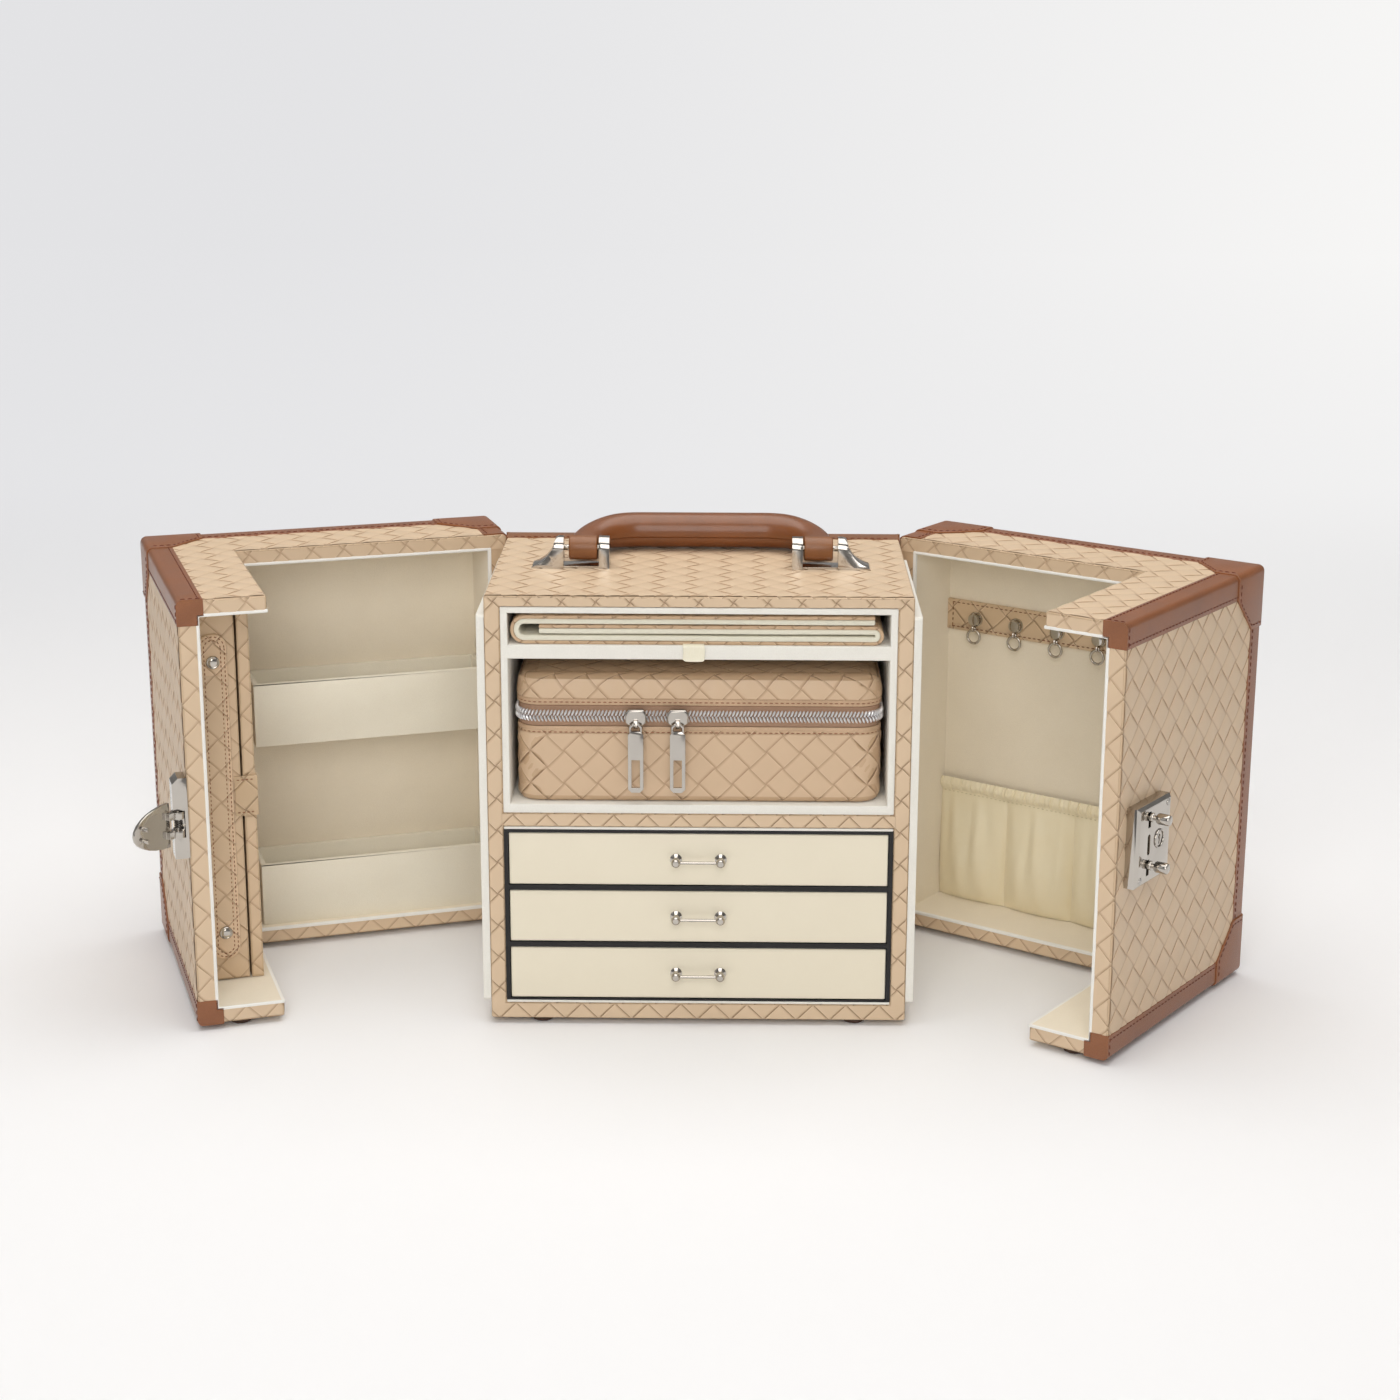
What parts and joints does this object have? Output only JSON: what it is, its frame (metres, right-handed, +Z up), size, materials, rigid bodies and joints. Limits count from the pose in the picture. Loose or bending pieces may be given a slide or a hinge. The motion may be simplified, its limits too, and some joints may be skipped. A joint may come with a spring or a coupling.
{
  "type": "travel jewellery box",
  "caption": "Travel jewellery box in woven leather: a cabinet with drawers, a zipped case and a mat between two hinged wings with felt trays, hooks, pocket, lock and top handle.",
  "frame": {"origin": "centre of the cabinet's underside, with the bumper feet 3 mm below it", "axes": "+X along the cabinet's width to its right wing, -Y out of its open front, +Z up"},
  "size_m": [0.6178, 0.2522, 0.2542],
  "materials": {
    "woven_leather": "matt woven strips",
    "brown_leather": "smooth satin",
    "cream_felt": "short felt",
    "cream_board": "smooth leatherette on board",
    "black_board": "matt",
    "cream_satin": "gathered satin",
    "zip_tape": "woven tape",
    "brown_plastic": "matt",
    "nickel": "polished nickel",
    "dark_steel": "oiled"
  },
  "bodies": {
    "cabinet": {"cabinet_shell": "woven_leather", "compartment_liner": "cream_felt", "lower_shelf": "woven_leather", "drawer_housing": "black_board", "side_felts": "cream_felt", "rear_leather": "brown_leather", "cabinet_feet": "brown_plastic", "handle_bracket_left": "nickel", "handle_bracket_right": "nickel", "handle_pins": "nickel"},
    "handle": {"handle_grip": "brown_leather", "handle_loops": "brown_leather"},
    "drawer_1": {"drawer_1": "cream_board", "drawer_pull_1": "nickel"},
    "drawer_2": {"drawer_2": "cream_board", "drawer_pull_2": "nickel"},
    "drawer_3": {"drawer_3": "cream_board", "drawer_pull_3": "nickel"},
    "mat": {"mat_cover": "woven_leather", "mat_lining": "cream_felt"},
    "zip_case": {"case_base": "woven_leather", "case_lid": "woven_leather", "case_zip_tapes": "zip_tape", "case_zip_chain": "nickel"},
    "zip_slider_left": {"zip_slider_left": "nickel"},
    "zip_slider_right": {"zip_slider_right": "nickel"},
    "zip_pull_left": {"zip_pull_left": "nickel"},
    "zip_pull_right": {"zip_pull_right": "nickel"},
    "left_wing": {"left_wing_shell": "woven_leather", "left_wing_lining": "cream_felt", "left_wing_trim": "brown_leather", "left_wing_corners": "brown_leather", "left_wing_feet": "brown_plastic", "tray_upper": "cream_felt", "tray_lower": "cream_felt", "hasp_base": "nickel", "hasp_spring": "dark_steel"},
    "hasp": {"hasp_plate": "nickel"},
    "folder": {"folder_tray": "woven_leather", "folder_strap": "woven_leather", "folder_snaps": "nickel"},
    "folder_cover": {"folder_cover": "woven_leather"},
    "right_wing": {"right_wing_shell": "woven_leather", "right_wing_lining": "cream_felt", "right_wing_trim": "brown_leather", "right_wing_corners": "brown_leather", "right_wing_feet": "brown_plastic", "hook_strip": "woven_leather", "hook_studs": "nickel", "elastic_pocket": "cream_satin", "lock_plate": "nickel"},
    "lock_knob_upper": {"lock_knob_upper": "nickel"},
    "lock_knob_lower": {"lock_knob_lower": "nickel"},
    "lock_cylinder": {"lock_cylinder": "nickel"},
    "hook_ring_1": {"hook_ring_1": "nickel"},
    "hook_ring_2": {"hook_ring_2": "nickel"},
    "hook_ring_3": {"hook_ring_3": "nickel"},
    "hook_ring_4": {"hook_ring_4": "nickel"},
    "hook_ring_5": {"hook_ring_5": "nickel"},
    "hook_ring_6": {"hook_ring_6": "nickel"}
  },
  "joints": [
    {"name": "left_wing_swing", "type": "hinge", "parent": "cabinet", "child": "left_wing", "pos_m": [-0.11, 0.0765, 0], "axis": [0, 0, -1], "range_deg": [-71.4, 38.6]},
    {"name": "right_wing_swing", "type": "hinge", "parent": "cabinet", "child": "right_wing", "pos_m": [0.11, 0.0765, 0], "axis": [0, 0, 1], "range_deg": [-55.06, 54.94]},
    {"name": "handle_swing", "type": "hinge", "parent": "cabinet", "child": "handle", "pos_m": [0, -0.007, 0.2415], "axis": [1, 0, 0], "range_deg": [0, 178]},
    {"name": "drawer_1_slide", "type": "slide", "parent": "cabinet", "child": "drawer_1", "axis": [0, -1, 0], "range_m": [0, 0.115]},
    {"name": "drawer_2_slide", "type": "slide", "parent": "cabinet", "child": "drawer_2", "axis": [0, -1, 0], "range_m": [0, 0.115]},
    {"name": "drawer_3_slide", "type": "slide", "parent": "cabinet", "child": "drawer_3", "axis": [0, -1, 0], "range_m": [0, 0.115]},
    {"name": "mat_slide", "type": "slide", "parent": "cabinet", "child": "mat", "axis": [0, -1, 0], "range_m": [0, 0.12]},
    {"name": "zip_case_slide", "type": "slide", "parent": "cabinet", "child": "zip_case", "axis": [0, -1, 0], "range_m": [0, 0.12]},
    {"name": "zip_slider_left_run", "type": "slide", "parent": "zip_case", "child": "zip_slider_left", "axis": [-1, 0, 0], "range_m": [0, 0.044]},
    {"name": "zip_slider_right_run", "type": "slide", "parent": "zip_case", "child": "zip_slider_right", "axis": [1, 0, 0], "range_m": [0, 0.086]},
    {"name": "zip_pull_left_swing", "type": "hinge", "parent": "zip_slider_left", "child": "zip_pull_left", "pos_m": [-0.0325, -0.0777, 0.16365], "axis": [-1, 0, 0], "range_deg": [0, 90]},
    {"name": "zip_pull_right_swing", "type": "hinge", "parent": "zip_slider_right", "child": "zip_pull_right", "pos_m": [-0.0108, -0.0777, 0.16365], "axis": [-1, 0, 0], "range_deg": [0, 90]},
    {"name": "hasp_swing", "type": "hinge", "parent": "left_wing", "child": "hasp", "pos_m": [-0.26836, -0.09159, 0.1127], "axis": [0, 0, 1], "range_deg": [0, 50], "stiffness_Nm_per_rad": 0.004},
    {"name": "folder_slide", "type": "slide", "parent": "left_wing", "child": "folder", "axis": [0.319, -0.9478, 0], "range_m": [0, 0.15]},
    {"name": "folder_cover_swing", "type": "hinge", "parent": "folder", "child": "folder_cover", "pos_m": [-0.27831, 0.05837, 0.112], "axis": [0, 0, 1], "range_deg": [0, 16]},
    {"name": "hook_ring_1_swing", "type": "hinge", "parent": "right_wing", "child": "hook_ring_1", "pos_m": [0.15558, 0.08796, 0.1735], "axis": [-0.8198, 0.5727, 0], "range_deg": [0, 110]},
    {"name": "hook_ring_2_swing", "type": "hinge", "parent": "right_wing", "child": "hook_ring_2", "pos_m": [0.17722, 0.07284, 0.1735], "axis": [-0.8198, 0.5727, 0], "range_deg": [0, 110]},
    {"name": "hook_ring_3_swing", "type": "hinge", "parent": "right_wing", "child": "hook_ring_3", "pos_m": [0.19886, 0.05772, 0.1735], "axis": [-0.8198, 0.5727, 0], "range_deg": [0, 110]},
    {"name": "hook_ring_4_swing", "type": "hinge", "parent": "right_wing", "child": "hook_ring_4", "pos_m": [0.2205, 0.0426, 0.1735], "axis": [-0.8198, 0.5727, 0], "range_deg": [0, 110]},
    {"name": "hook_ring_5_swing", "type": "hinge", "parent": "right_wing", "child": "hook_ring_5", "pos_m": [0.24215, 0.02748, 0.1735], "axis": [-0.8198, 0.5727, 0], "range_deg": [0, 110]},
    {"name": "hook_ring_6_swing", "type": "hinge", "parent": "right_wing", "child": "hook_ring_6", "pos_m": [0.26379, 0.01236, 0.1735], "axis": [-0.8198, 0.5727, 0], "range_deg": [0, 110]},
    {"name": "lock_knob_upper_slide", "type": "slide", "parent": "right_wing", "child": "lock_knob_upper", "axis": [0, 0, -1], "range_m": [0, 0.004], "stiffness_N_per_m": 300},
    {"name": "lock_knob_lower_slide", "type": "slide", "parent": "right_wing", "child": "lock_knob_lower", "axis": [0, 0, -1], "range_m": [0, 0.004], "stiffness_N_per_m": 300},
    {"name": "lock_cylinder_turn", "type": "hinge", "parent": "right_wing", "child": "lock_cylinder", "pos_m": [0.23502, -0.10441, 0.113], "axis": [0.8198, -0.5727, 0], "range_deg": [0, 90]}
  ]
}
